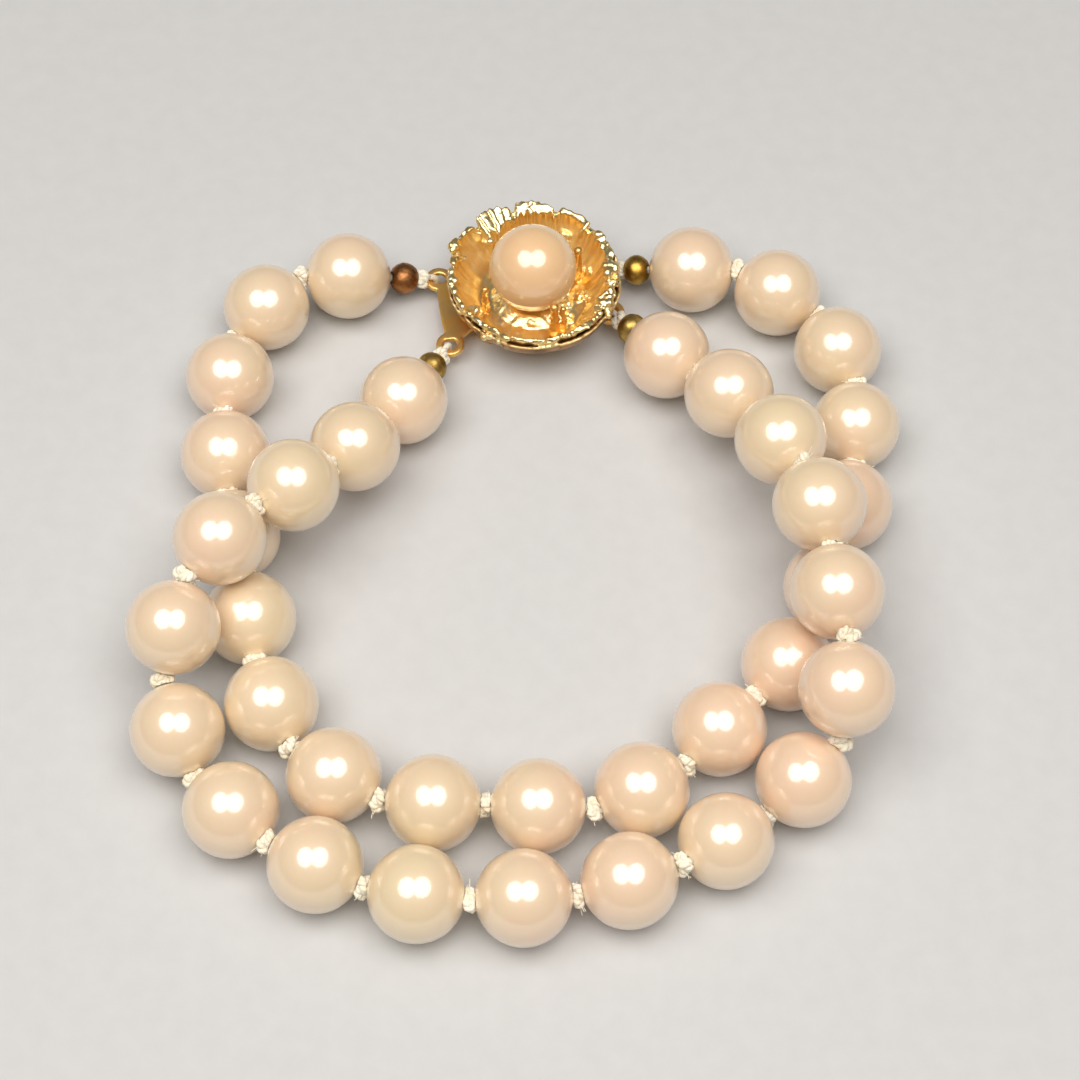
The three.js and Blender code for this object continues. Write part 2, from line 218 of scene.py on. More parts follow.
@dataclass(frozen=True)
class KnottedSilk(Finish):
    """Degummed silk cord: its fibres give the eye a matt, warm white with a faint lustre."""

    def shader(self, tree: Tree, place: Socket) -> Node:
        """Adds the silk's nodes; see Finish."""
        # Fibres, drawn coarser than the real ones so that they show
        fibre = add_node(tree, "TexNoise", Vector=place, Scale=per(0.12 * MM), Detail=3.0, Roughness=0.7)
        soil = add_node(tree, "TexNoise", Vector=place, Scale=per(1.5 * MM), Detail=2.0)
        colour = add_node(tree, "ValToRGB", {"stops": [(0.3, "#F4E8CF"), (0.65, "#FDF6E6")]}, Fac=soil)
        bump = add_node(tree, "Bump", Strength=0.5, Distance=0.04 * MM, Height=fibre)
        return add_node(
            tree, "BsdfPrincipled", Base_Color=colour, Normal=bump, Roughness=0.75, IOR=1.54,
            Sheen_Weight=0.5, Sheen_Roughness=0.35, Subsurface_Weight=0.15, Subsurface_Scale=0.3 * MM)


@dataclass(frozen=True)
class Metal(Finish):
    """Metal: dents and tarnish give the eye broken reflections in a mottled colour. Sizes in mm."""

    bright: str
    dull: str
    polish: float
    tarnish: float
    mottle: float
    dent: float
    dent_depth: float

    def polished(self, tree: Tree, place: Socket, mottle: Node) -> Node:
        """Spreads the polish over the metal.

        Args:
            tree: Node tree of the material.
            place: Object coordinates.
            mottle: Clouds of the colour.

        Returns:
            The node that gives the roughness.
        """
        return add_node(tree, "MapRange", Value=mottle, From_Min=0.3, From_Max=0.7,
                        To_Min=self.tarnish, To_Max=self.polish)

    def shader(self, tree: Tree, place: Socket) -> Node:
        """Adds the metal's nodes; see Finish."""
        mottle = add_node(tree, "TexNoise", Vector=place, Scale=per(self.mottle * MM),
                          Detail=4.0, Roughness=0.6)
        colour = add_node(tree, "ValToRGB", {"stops": [(0.36, self.dull), (0.6, self.bright)]}, Fac=mottle)
        # Dents or hammer marks, with a finer skin on them
        dents = add_node(tree, "TexVoronoi", {"feature": "SMOOTH_F1"},
                         Vector=place, Scale=per(self.dent * MM), Smoothness=0.6)
        grain = add_node(tree, "TexNoise", Vector=place, Scale=per(self.dent / 3 * MM), Detail=3.0)
        skin = add_node(tree, "Math", {"operation": "MULTIPLY_ADD"}, i0=grain, i1=0.3, i2=dents)
        bump = add_node(tree, "Bump", Strength=0.6, Distance=self.dent_depth * MM, Height=skin)
        return add_node(tree, "BsdfPrincipled", Base_Color=colour, Normal=bump,
                        Metallic=1.0, Roughness=self.polished(tree, place, mottle))


@dataclass(frozen=True)
class CastGold(Metal):
    """Gold plate on a cast flower: satin on the bowl's wall, rubbed bright on rim and floor."""

    bowl_height: float = 4.7
    satin_reach: float = 0.9
    rubbed_reach: float = 1.45

    def polished(self, tree: Tree, place: Socket, mottle: Node) -> Node:
        """Keeps the steep wall satin, where no cloth reaches; see Metal."""
        height = add_node(tree, "SeparateXYZ", Vector=place).outputs["Z"]
        above = add_node(tree, "Math", {"operation": "SUBTRACT"}, i0=height, i1=self.bowl_height * MM)
        away = add_node(tree, "Math", {"operation": "ABSOLUTE"}, i0=above)
        return add_node(tree, "MapRange", Value=away, From_Min=self.satin_reach * MM,
                        From_Max=self.rubbed_reach * MM, To_Min=self.tarnish, To_Max=self.polish)


@dataclass(frozen=True)
class PaleFloor(Finish):
    """Painted board: its matt grain gives the eye an even pale grey."""

    def shader(self, tree: Tree, place: Socket) -> Node:
        """Adds the paint's nodes; see Finish."""
        grain = add_node(tree, "TexNoise", Vector=place, Scale=per(2 * MM), Detail=2.0)
        colour = add_node(tree, "ValToRGB", {"stops": [(0.3, "#CCCDCE"), (0.7, "#CFD0D1")]}, Fac=grain)
        return add_node(tree, "BsdfPrincipled", Base_Color=colour, Roughness=0.85)


# Modelling helpers


def deselect_everything() -> None:
    """Leaves edit mode and deselects every object."""
    if bpy.context.mode != "OBJECT":
        bpy.ops.object.mode_set(mode="OBJECT")
    bpy.ops.object.select_all(action="DESELECT")


def pick(piece: Piece) -> None:
    """Makes one object the only selected and active one.

    Args:
        piece: Object to pick.
    """
    deselect_everything()
    piece.select_set(True)
    bpy.context.view_layer.objects.active = piece


@contextmanager
def editing(piece: Piece) -> Iterator[None]:
    """Opens one object in edit mode with nothing selected, and closes it again.

    Args:
        piece: Mesh object to edit.
    """
    pick(piece)
    bpy.ops.object.mode_set(mode="EDIT")
    bpy.ops.mesh.select_all(action="DESELECT")
    yield
    bpy.ops.object.mode_set(mode="OBJECT")


def select(piece: Piece, kind: str, wanted: Callable[[list[Vector]], bool]) -> None:
    """Selects the faces or edges of the object in edit mode that pass a test.

    Args:
        piece: Object in edit mode.
        kind: "FACE" or "EDGE".
        wanted: Test on the places of its corners.
    """
    bpy.ops.mesh.select_mode(type=kind)
    mesh = bmesh.from_edit_mesh(piece.data)
    for part in mesh.faces if kind == "FACE" else mesh.edges:
        part.select_set(wanted([corner.co for corner in part.verts]))
    mesh.select_flush_mode()
    bmesh.update_edit_mesh(piece.data)


def settle(piece: Piece) -> Piece:
    """Applies an object's place so that it sits at the origin with its place in its mesh.

    Args:
        piece: Object to settle.

    Returns:
        The same object.
    """
    pick(piece)
    bpy.ops.object.transform_apply(location=True, rotation=True, scale=True)
    return piece


def close_up(piece: Piece) -> None:
    """Merges doubled corners and turns the faces outwards.

    Args:
        piece: Object to close.
    """
    with editing(piece):
        bpy.ops.mesh.select_all(action="SELECT")
        bpy.ops.mesh.remove_doubles(threshold=0.001 * MM)
        bpy.ops.mesh.normals_make_consistent(inside=False)


def finish_with(piece: Piece, kind: str, **settings: object) -> None:
    """Adds one modifier and applies it.

    Args:
        piece: Object that gets it.
        kind: Blender's modifier type.
        settings: Properties of the modifier.
    """
    pick(piece)
    modifier = piece.modifiers.new(kind.title(), kind)
    for name, value in settings.items():
        setattr(modifier, name, value)
    bpy.ops.object.modifier_apply(modifier=modifier.name)


def reshape(piece: Piece, move: Callable[[Vector], Vector]) -> None:
    """Moves every corner of a mesh.

    Args:
        piece: Object whose mesh changes.
        move: Gives a corner's new place from its old one.
    """
    for corner in piece.data.vertices:
        corner.co = move(corner.co)
    piece.data.update()


def scatter(chance: random.Random, low: float, high: float) -> Vector:
    """Three draws between two bounds, as a vector."""
    return Vector([chance.uniform(low, high) for _ in range(3)])


def joined(name: str, parts: Sequence[Piece]) -> Piece:
    """Joins several objects into one.

    Args:
        name: Name of the whole.
        parts: Objects to join.

    Returns:
        The whole.
    """
    deselect_everything()
    for part in parts:
        part.select_set(True)
    bpy.context.view_layer.objects.active = parts[0]
    bpy.ops.object.join()
    parts[0].name = name
    return parts[0]


def keep_shell(piece: Piece) -> None:
    """Deletes every loose shell but the one with the highest corner.

    Args:
        piece: Object whose mesh is cleaned.
    """
    with editing(piece):
        bpy.ops.mesh.select_mode(type="VERT")
        max(bmesh.from_edit_mesh(piece.data).verts, key=lambda corner: corner.co.z).select_set(True)
        bpy.ops.mesh.select_linked()
        bpy.ops.mesh.select_all(action="INVERT")
        bpy.ops.mesh.delete(type="VERT")


def copied(name: str, template: Piece, matrix: Matrix) -> Piece:
    """Copies a template with its own mesh to its place.

    Args:
        name: Name of the copy.
        template: Object modelled at the origin.
        matrix: Place of the copy.

    Returns:
        The copy, with its place in its mesh.
    """
    copy = bpy.data.objects.new(name, template.data.copy())
    copy.data.transform(matrix)
    bpy.context.scene.collection.objects.link(copy)
    return copy


def block(middle: tuple[float, float, float], size: tuple[float, float, float]) -> Piece:
    """Block that a plate or a box is shaped from.

    Args:
        middle: Its middle.
        size: Its length, width and height.

    Returns:
        The block, with its place in its mesh.
    """
    deselect_everything()
    bpy.ops.mesh.primitive_cube_add(size=1, location=middle, scale=size)
    return settle(bpy.context.object)


def spun(name: str, rows: Sequence[tuple[float, float]], steps: int) -> Piece:
    """Turns a profile about +Z, as on a lathe.

    Args:
        name: Name of the piece.
        rows: Radius and height of each point of the profile, in metres.
        steps: Facets round the piece.

    Returns:
        The turned piece.
    """
    deselect_everything()
    bpy.ops.mesh.primitive_plane_add(size=MM, location=(rows[0][0], 0, rows[0][1]))
    piece = bpy.context.object
    piece.name = name
    bpy.ops.object.mode_set(mode="EDIT")
    bpy.ops.mesh.select_mode(type="VERT")
    bpy.ops.mesh.select_all(action="SELECT")
    bpy.ops.mesh.merge(type="CENTER")
    for (radius, height), (next_radius, next_height) in pairwise(rows):
        step = (next_radius - radius, 0, next_height - height)
        bpy.ops.mesh.extrude_region_move(TRANSFORM_OT_translate={"value": step})
    bpy.ops.mesh.select_all(action="SELECT")
    bpy.ops.mesh.spin(steps=steps, angle=2 * pi, center=(0, 0, 0), axis=(0, 0, 1))
    settle(piece)
    close_up(piece)
    return piece


def drilled_ball(name: str, radius: float, half_length: float, hole: float, sides: int, rows: int) -> Piece:
    """Ball or barrel with a hole along +Z, its edge softened.

    Args:
        name: Name of the piece.
        radius: Widest radius across the hole.
        half_length: Half the length along the hole.
        hole: Radius of the hole.
        sides: Facets round it.
        rows: Facets from end to end.

    Returns:
        The drilled piece at the origin.
    """
    deselect_everything()
    bpy.ops.mesh.primitive_uv_sphere_add(segments=sides, ring_count=rows, radius=radius)
    piece = bpy.context.object
    piece.name = name
    pole = radius * sin(pi / rows)
    cap = pole * 1.01
    with editing(piece):
        select(piece, "FACE", lambda spots: (sum(spots, Vector()) / len(spots)).xy.length < cap * 0.99)
        bpy.ops.mesh.delete(type="FACE")
        bpy.ops.mesh.select_all(action="SELECT")
        bpy.ops.mesh.region_to_loop()
        bpy.ops.mesh.bridge_edge_loops()
        select(piece, "EDGE", lambda spots: abs(spots[0].z - spots[1].z) < radius * 0.01
               and all(spot.xy.length < cap for spot in spots))
        bpy.ops.mesh.bevel(offset=radius * 0.03, segments=2, affect="EDGES")

    def fit(corner: Vector) -> Vector:
        """Narrows the ends to the hole and sets the length."""
        near = max(0.0, 1.0 - abs(corner.xy.length - cap) / (radius * 0.5))
        share = 1.0 + (hole / pole - 1.0) * near
        return Vector((corner.x * share, corner.y * share, corner.z * half_length / radius))

    reshape(piece, fit)
    close_up(piece)
    return piece


# Where things are


def middle_of(node: str) -> Vector:
    """Middle of a CAD node's box, in metres."""
    low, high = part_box(node)
    return (low + high) / 2


def along(axis: Vector, middle: Vector, turn: float) -> Matrix:
    """Place of a piece modelled along +Z that lies along an axis.

    Args:
        axis: Direction that +Z turns to.
        middle: Where the origin goes.
        turn: Turn about the piece's own axis, in radians.

    Returns:
        The matrix.
    """
    side = axis.cross(UP).normalized()
    turned = Matrix((side, axis.cross(side), axis)).transposed().to_4x4()
    return Matrix.Translation(middle) @ turned @ Matrix.Rotation(turn, 4, "Z")


def dress(piece: Piece, node: str, material: Material, sharp: float = 180) -> None:
    """Shades a finished piece, gives it its material and body, and hides the CAD node that it replaces.

    Args:
        piece: Finished piece.
        node: CAD node that it replaces.
        material: Its material.
        sharp: Angle in degrees above which an edge stays sharp.
    """
    pick(piece)
    bpy.ops.object.shade_smooth_by_angle(angle=radians(sharp))
    piece.data.materials.clear()
    piece.data.materials.append(material)
    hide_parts(node)
    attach(piece, BODY)
    log.info("%s: %d faces", piece.name, len(piece.data.polygons))


@dataclass
class ClaspPlace:
    """Where the clasp and its four eyes are."""

    turn: float = radians(9)
    shift: float = 0.4 * MM
    tongue_eye: tuple[float, float] = (-8.3 * MM, 3.8 * MM)
    box_eye: tuple[float, float] = (7.0 * MM, 2.5 * MM)
    eye_height: float = 1.75 * MM
    middle: Vector = field(default_factory=lambda: middle_of("clasp_pearl"))

    def over(self, height: float = 0.0) -> Matrix:
        """Place above the flower's middle, in the frame's own directions."""
        return Matrix.Translation((self.middle.x, self.middle.y, height))

    def matrix(self) -> Matrix:
        """The clasp's own axes as a matrix."""
        return self.over() @ Matrix.Rotation(self.turn, 4, "Z")

    def eye(self, spot: tuple[float, float], side: int) -> Vector:
        """Middle of one eye, from its place on the clasp and 1 for the far strand or -1 for the near."""
        return self.matrix() @ Vector((spot[0], self.shift + side * spot[1], self.eye_height))


@dataclass
class PearlStrand:
    """One strand: its pearls, its knotted silk and its two metal end beads."""

    name: str
    first_eye: Vector
    last_eye: Vector
    dented: str = ""
    count: int = 19
    radius: float = 4.0 * MM
    hole: float = 0.45 * MM
    turning_steps: int = 8
    knot_radius: float = 1.15 * MM
    knot_height: float = 0.30 * MM
    knot_steps: int = 54
    knot_reach: float = 1.8 * MM
    winds: int = 9
    cord_radius: float = 0.38 * MM
    fibres_per_knot: int = 5
    bead_radius: float = 1.45 * MM
    bead_half: float = 1.25 * MM
    bead_hole: float = 0.55 * MM
    bead_gap: float = 0.1 * MM
    knot_gap: float = 0.05 * MM
    end_knot_length: float = 0.8 * MM
    unevenness: float = 0.008
    tie_inset: float = 0.95 * MM
    tie_size: tuple[float, float] = (0.72 * MM, 0.62 * MM)

    def __post_init__(self) -> None:
        """Reads the pearls' places from the frame and turns their holes to the knots."""
        self.chance = random.Random(f"strand {self.name}")
        self.nodes = [f"pearl_{self.name}_{i + 1:02d}" for i in range(self.count)]
        self.middles = [middle_of(node) for node in self.nodes]
        self.axes = self.hole_axes()
        self.ends = ((self.first_eye, self.middles[0]), (self.last_eye, self.middles[-1]))

    def hole_axes(self) -> list[Vector]:
        """Turns each pearl's hole from the last knot to the next one.

        Returns:
            The direction of each hole.
        """
        middles, last = self.middles, self.count - 1
        axes = [(middles[min(i + 1, last)] - middles[max(i - 1, 0)]).normalized() for i in range(self.count)]
        axes[0] = (middles[0] - self.first_eye).normalized()
        axes[last] = (self.last_eye - middles[last]).normalized()
        for _ in range(self.turning_steps):
            for i in range(1, last):
                axes[i] = (self.knot_middle(axes, i) - self.knot_middle(axes, i - 1)).normalized()
        return axes

    def knot_middle(self, axes: Sequence[Vector], index: int) -> Vector:
        """Middle of the knot after the pearl of an index, for given directions of the holes."""
        here, following = self.middles[index], self.middles[index + 1]
        return (here + axes[index] * self.radius + (following - axes[index + 1] * self.radius)) / 2

    def pearls(self, template: Piece, material: Material) -> None:
        """Sets each pearl, a little off round and with its own slow bumps.

        Args:
            template: Drilled pearl at the origin.
            material: The nacre.
        """
        for node, middle, axis in zip(self.nodes, self.middles, self.axes):
            squash = scatter(self.chance, 0.988, 1.006)
            start = scatter(self.chance, *ANYWHERE)
            pearl = copied(f"{node}_nacre", template, Matrix.Identity(4))

            def grow(corner: Vector, squash: Vector = squash, start: Vector = start) -> Vector:
                """Squashes the pearl and swells it here and there."""
                swell = 1 + self.unevenness * noise(corner / self.radius * 1.1 + start)
                return corner * squash * swell

            reshape(pearl, grow)
            pearl.data.transform(along(axis, middle, self.chance.uniform(*ANY_TURN)))
            dress(pearl, node, material, 60)

    def knot_paths(self) -> list[list[Vector]]:
        """Paths of a knot's two plies, in the knot's own axes.

        Returns:
            Two closed paths, wound round the cord's line.
        """
        unit = (self.knot_radius - self.cord_radius) / 3
        line = []
        for step in range(self.knot_steps):
            t = 2 * pi * step / self.knot_steps
            x, y = sin(t) + 2 * sin(2 * t), cos(t) - 2 * cos(2 * t)
            line.append(Vector((unit * x, unit * y, -self.knot_height * sin(3 * t))))
        plies = []
        for ply in (0, pi):
            path = []
            for step, point in enumerate(line):
                ahead = (line[(step + 1) % self.knot_steps] - line[step - 1]).normalized()
                side = ahead.cross(UP).normalized()
                wind = ply + self.winds * 2 * pi * step / self.knot_steps
                out = side * cos(wind) + side.cross(ahead) * sin(wind)
                path.append(point + out * self.cord_radius * 0.5)
            plies.append(path)
        return plies

    def fibre(self, place: Matrix) -> list[Vector]:
        """A loose fibre that stands out of a knot.

        Args:
            place: Place of the knot.

        Returns:
            The fibre's path.
        """
        angle = self.chance.uniform(*ANY_TURN)
        out = Vector((cos(angle), sin(angle), self.chance.uniform(-0.3, 0.3)))
        bow = scatter(self.chance, -0.35, 0.35)
        length = self.chance.uniform(0.25, 0.8) * MM
        start = out * 0.8 * MM
        return [place @ (start + out * length * t + bow * length * t * t) for t in (0, 0.35, 0.7, 1)]

    def end_line(self, eye: Vector, pearl: Vector) -> tuple[Vector, Vector, Vector]:
        """Places along the cord's end between the clasp and the first pearl.

        Args:
            eye: The clasp's eye.
            pearl: Middle of the end pearl.

        Returns:
            Direction outwards, the end bead's middle and the end knot's middle.
        """
        outward = (pearl - eye).normalized()
        bead = pearl - outward * (self.radius + self.bead_gap + self.bead_half)
        knot = bead - outward * (self.bead_half + self.knot_gap + self.end_knot_length / 2)
        return outward, bead, knot

    def silk(self, material: Material) -> None:
        """Makes the strand's whole thread, with a knot between each two pearls.

        Args:
            material: The silk.
        """
        curve = bpy.data.curves.new(f"silk_{self.name}", "CURVE")
        curve.dimensions = "3D"
        curve.bevel_resolution = 1
        curve.bevel_depth = self.cord_radius * 0.62
        curve.use_fill_caps = True

        def lay(points: Sequence[Vector], thickness: float, closed: bool = False) -> None:
            """Lays one length of silk, its thickness a share of a ply's."""
            spline = curve.splines.new("POLY")
            spline.points.add(len(points) - 1)
            spline.use_cyclic_u = closed
            for spot, point in zip(spline.points, points):
                spot.co = (*point, 1.0)
                spot.radius = thickness

        paths = self.knot_paths()
        for i, (here, following) in enumerate(pairwise(self.middles)):
            chord = (following - here).normalized()
            place = along(chord, self.knot_middle(self.axes, i), self.chance.uniform(*ANY_TURN))
            for path in paths:
                lay([place @ point for point in path], 1.0, True)
            # Filled core, so that no light shows through the knot
            lay([place @ (UP * height * MM) for height in (-0.45, -0.2, 0.2, 0.45)], 3.0)
            for _ in range(self.fibres_per_knot):
                lay(self.fibre(place), 0.13)
        reach = self.radius + 0.3 * MM
        for middle, axis in zip(self.middles, self.axes):
            lay([middle - axis * reach, middle + axis * reach], 1.6)
        for eye, pearl in self.ends:
            outward, _, knot = self.end_line(eye, pearl)
            place = along(outward, knot, self.chance.uniform(*ANY_TURN))
            for path in paths:
                lay([place @ (point * Vector((0.82, 0.82, 1.15))) for point in path], 1.0, True)
            lay([knot, pearl], 1.6)
            # The tie runs through the eye and round its wall
            level = Vector((outward.x, outward.y, 0)).normalized()
            wide, high = self.tie_size
            turns = [2 * pi * step / 24 for step in range(24)]
            wall = eye + level * self.tie_inset
            lay([wall + level * cos(t) * wide + UP * sin(t) * high for t in turns], 1.2, True)
        thread = bpy.data.objects.new(curve.name, curve)
        bpy.context.scene.collection.objects.link(thread)
        pick(thread)
        bpy.ops.object.convert(target="MESH")
        thread = bpy.context.object
        self.press(thread)
        dress(thread, f"thread_{self.name}", material, 70)

    def press(self, thread: Piece) -> None:
        """Presses the knots flat where the pearls push on them.

        Args:
            thread: The mesh of the thread.
        """
        clear = self.radius + 0.03 * MM
        knots = [self.knot_middle(self.axes, i) for i in range(self.count - 1)]
        for corner in thread.data.vertices:
            index = min(range(len(knots)), key=lambda k: (knots[k] - corner.co).length_squared)
            if (knots[index] - corner.co).length > self.knot_reach:
                continue
            for pearl in (index, index + 1):
                away = corner.co - self.middles[pearl]
                across = away - self.axes[pearl] * away.dot(self.axes[pearl])
                if away.length < clear and across.length > self.hole:
                    corner.co = self.middles[pearl] + away.normalized() * clear
        thread.data.update()

    def end_beads(self, template: Piece, finishes: Sequence[Material]) -> None:
        """Sets the metal bead at each end of the strand.

        Args:
            template: Drilled bead at the origin.
            finishes: The metal of the left and the right bead.
        """
        for (eye, pearl), side, material in zip(self.ends, ("left", "right"), finishes):
            outward, middle, _ = self.end_line(eye, pearl)
            node = f"end_bead_{self.name}_{side}"
            bead = copied(f"{node}_metal", template, Matrix.Identity(4))
            start = scatter(self.chance, *ANYWHERE)
            dented = self.dented == side

            def worn(corner: Vector, start: Vector = start, dented: bool = dented) -> Vector:
                """Wears the bead uneven, and creases the dented one down its outer side."""
                size = 0.98 + 0.05 * noise(corner / self.bead_radius * 1.3 + start)
                if dented:
                    crease = corner.y / self.bead_radius - 0.35 - 0.15 * sin(corner.z / (0.5 * MM))
                    outer = max(0.0, corner.x / self.bead_radius)
                    size += 0.05 - 0.2 * exp(-((crease / 0.13) ** 2)) * outer
                return Vector((corner.x * size, corner.y * size, corner.z * (1.1 if dented else 1.0)))

            reshape(bead, worn)
            turn = pi / 2 if dented else self.chance.uniform(*ANY_TURN)
            bead.data.transform(along(outward, middle, turn))
            dress(bead, node, material, 60)


@dataclass(frozen=True)
class Petal:
    """One petal: its span in degrees, then in mm its outer edge and the bent lip along it."""

    start: float
    end: float
    reach: float
    height: float
    lip: float
    slope: float
    flutes: float
    flute_depth: float
    lump: float = 0.10


@dataclass
class FlowerClasp:
    """Flower clasp: box, dish, petals, prongs, tongue and the pearl in the middle."""

    place: ClaspPlace
    gold: Material
    smooth_gold: Material
    # Darker brown copy of the gold for the dish: a painted dark reflection
    dark_reflection_gold: Material
    # Warmer nacre for the clasp pearl: its tint is a painted reflection of the gold cup
    nacre: Material
    rim_radius: float = 8.0 * MM
    floor_radius: float = 4.9 * MM
    floor_height: float = 3.0 * MM
    collar_top: float = 2.6 * MM
    collar_foot: float = 3.9 * MM
    collar_rise: float = 0.52 * MM
    hammer_marks: tuple[tuple[float, float], ...] = ((0.62 * MM, 0.16 * MM), (0.24 * MM, 0.06 * MM))
    petal_wall: float = 0.42 * MM
    overlap: float = 0.3 * MM
    pinch_width: float = 0.26 * MM
    lip_step: float = 0.12 * MM
    cast_grain: float = 0.08 * MM
    pearl_radius: float = 4.0 * MM
    pearl_height: float = 7.35 * MM
    dish_reach: float = 8.05 * MM
    dish_height: float = 5.1 * MM
    dish_bottom: float = 2.1 * MM
    box_size: tuple[float, float, float] = (11.2 * MM, 6.4 * MM, 2.8 * MM)
    plate_wall: float = 0.5 * MM
    plate_x: float = -7.25 * MM
    plate_half: float = 1.25 * MM
    sight: Vector = field(default_factory=lambda: Vector((0.0, 0.604, -0.797)))
    petals: tuple[Petal, ...] = (
        Petal(6, 45, 7.9, 6.5, 0.95, 12, 2.2, 0.14, 0.24),
        Petal(45, 73, 8.0, 6.8, 0.65, 21, 1, 0.0, 0.08),
        Petal(73, 104, 8.15, 6.9, 1.25, 22, 2.5, 0.10, 0.2),
        Petal(104, 132, 8.35, 6.8, 2.3, 23, 4.6, 0.36, 0.10),
        Petal(132, 159, 8.25, 6.4, 0.45, 14, 2, 0.16, 0.16),
        Petal(159, 211, 7.65, 6.3, 0.45, 4, 3, 0.14, 0.2),
        Petal(211, 249, 7.4, 6.2, 0.42, -14, 2, 0.12, 0.16),
        Petal(249, 289, 7.6, 6.15, 0.42, -19, 2, 0.10),
        Petal(289, 327, 7.75, 6.2, 0.5, -17, 2, 0.10),
        Petal(327, 366, 7.9, 6.3, 1.2, 4, 2.6, 0.14, 0.26),
    )

    def petal_at(self, angle: float) -> tuple[Petal, float]:
        """Finds the petal at an angle.

        Args:
            angle: Angle in degrees, from +X towards +Y.

        Returns:
            The petal and the share of its width, from 0 to 1.
        """
        for petal in self.petals:
            for full in (angle, angle + 360):
                if petal.start <= full < petal.end:
                    return petal, (full - petal.start) / (petal.end - petal.start)
        return self.petals[0], 0.0

    def section(self, petal: Petal, share: float, lip: float) -> tuple[float, float, float]:
        """A petal's section: a bowl's wall, then a flatter lip that stands a little proud of it.

        Args:
            petal: The petal.
            share: 0 at the floor, 1 at the outer edge.
            lip: Width of the lip at this place.

        Returns:
            Radius, height, and how far onto the lip the point is, from 0 to 1.
        """
        slope = radians(petal.slope)
        foot = petal.reach * MM - lip * cos(slope)
        top = petal.height * MM - lip * sin(slope)
        wall = hypot(foot - self.floor_radius, top - self.floor_height)
        place = share * (wall + lip)
        if place < wall:
            part = place / wall
            radius = self.floor_radius + (foot - self.floor_radius) * (1 - (1 - part) ** 1.35)
            return radius, self.floor_height + (top - self.floor_height) * part ** 1.3, 0.0
        out = place - wall
        proud = min(1.0, out / (0.16 * MM)) * self.lip_step
        roll = max(0.0, out - lip + 0.2 * MM) ** 2 / (0.4 * MM)
        height = top + out * sin(slope) + proud - roll
        return foot + out * cos(slope), height, min(1.0, out / (0.3 * MM))

    def collar(self, corner: Vector, around: Vector, radius: float) -> float:
        """Height of the hammered collar round the pearl's foot.

        Args:
            corner: Corner of the flat disc.
            around: Its direction from the middle.
            radius: Its distance from the middle.

        Returns:
            The height above the flower's floor.
        """
        share = (self.collar_foot - radius) / (self.collar_foot - self.collar_top)
        share = min(1.0, max(0.0, share)) * min(1.0, radius / self.collar_top)
        blows = sum(noise(corner / size) * depth for size, depth in self.hammer_marks)
        blows *= (0.35 + 0.9 * sin(pi * share)) * (1 + noise(around * 3))
        return self.collar_rise * share + blows

    def shaped(self, corner: Vector) -> Vector:
        """Moves a corner of the turned cup to its place on the petals.

        Args:
            corner: Corner of the flat disc that the cup starts from.

        Returns:
            Its place about the clasp's middle.
        """
        radius = corner.xy.length
        if radius < 1e-9:
            return UP * self.floor_height
        angle = degrees(atan2(corner.y, corner.x)) % 360
        around = Vector((cos(radians(angle)), sin(radians(angle)), 0))
        if radius <= self.floor_radius:
            return around * radius + UP * (self.floor_height + self.collar(corner, around, radius))
        share = (radius - self.floor_radius) / (self.rim_radius - self.floor_radius)
        petal, across = self.petal_at(angle)
        # Slow and fast waves of the edge, and the pinch and cut corner where two petals meet
        wave = noise(around * 7 + UP * petal.start)
        ragged = noise(around * 19 + UP * petal.end)
        edge = min(across, 1 - across) * radians(petal.end - petal.start) * self.rim_radius
        pinch = exp(-((edge / self.pinch_width) ** 2))
        cut = 1 - sin(pi * across) ** 0.3
        reach, rise, onto = self.section(petal, share, petal.lip * MM * (1 + 0.5 * wave + 0.45 * ragged))
        # Flutes and lumps on the lip, fine streaks down the wall
        long = across if petal.flute_depth > 0.3 else 0.7
        ridge = abs(sin(pi * (petal.flutes * across + 0.5 * wave + 0.25 * ragged))) ** 0.6
        flute = (ridge - 0.75) * petal.flute_depth * MM * (0.25 + long) * onto
        lumps = noise((around + UP * share) * 15 + UP * 3) * petal.lump * MM * onto
        streak = noise(around * 17 + UP * share * 1.2) * 0.10 * MM * share
        rim = share ** 6
        reach += 0.5 * rim * (flute + 2.2 * lumps)
        reach += rim * (wave * 0.28 + ragged * 0.22 - pinch * 0.3 - cut * 0.5) * MM
        reach += share * (across - 0.5) * self.overlap + streak * (1 - onto)
        rise += flute + lumps + rim * (wave * 0.1 - cut * 0.25) * MM - share ** 3 * pinch * 0.5 * MM
        return around * reach + UP * rise

    def flower(self) -> None:
        """Makes the ring of petals with bent lips, its beaten floor and its cast nuggets."""
        rows = [self.floor_radius * i / 24 for i in range(25)]
        rows += [self.floor_radius + (self.rim_radius - self.floor_radius) * i / 44 for i in range(1, 45)]
        cup = spun("flower_petals", [(radius, 0.0) for radius in rows], 540)
        reshape(cup, self.shaped)
        if sum(face.normal.z > 0 for face in cup.data.polygons) < len(cup.data.polygons) / 2:
            with editing(cup):
                bpy.ops.mesh.select_all(action="SELECT")
                bpy.ops.mesh.flip_normals()
        finish_with(cup, "SOLIDIFY", thickness=self.petal_wall, offset=-1.0)
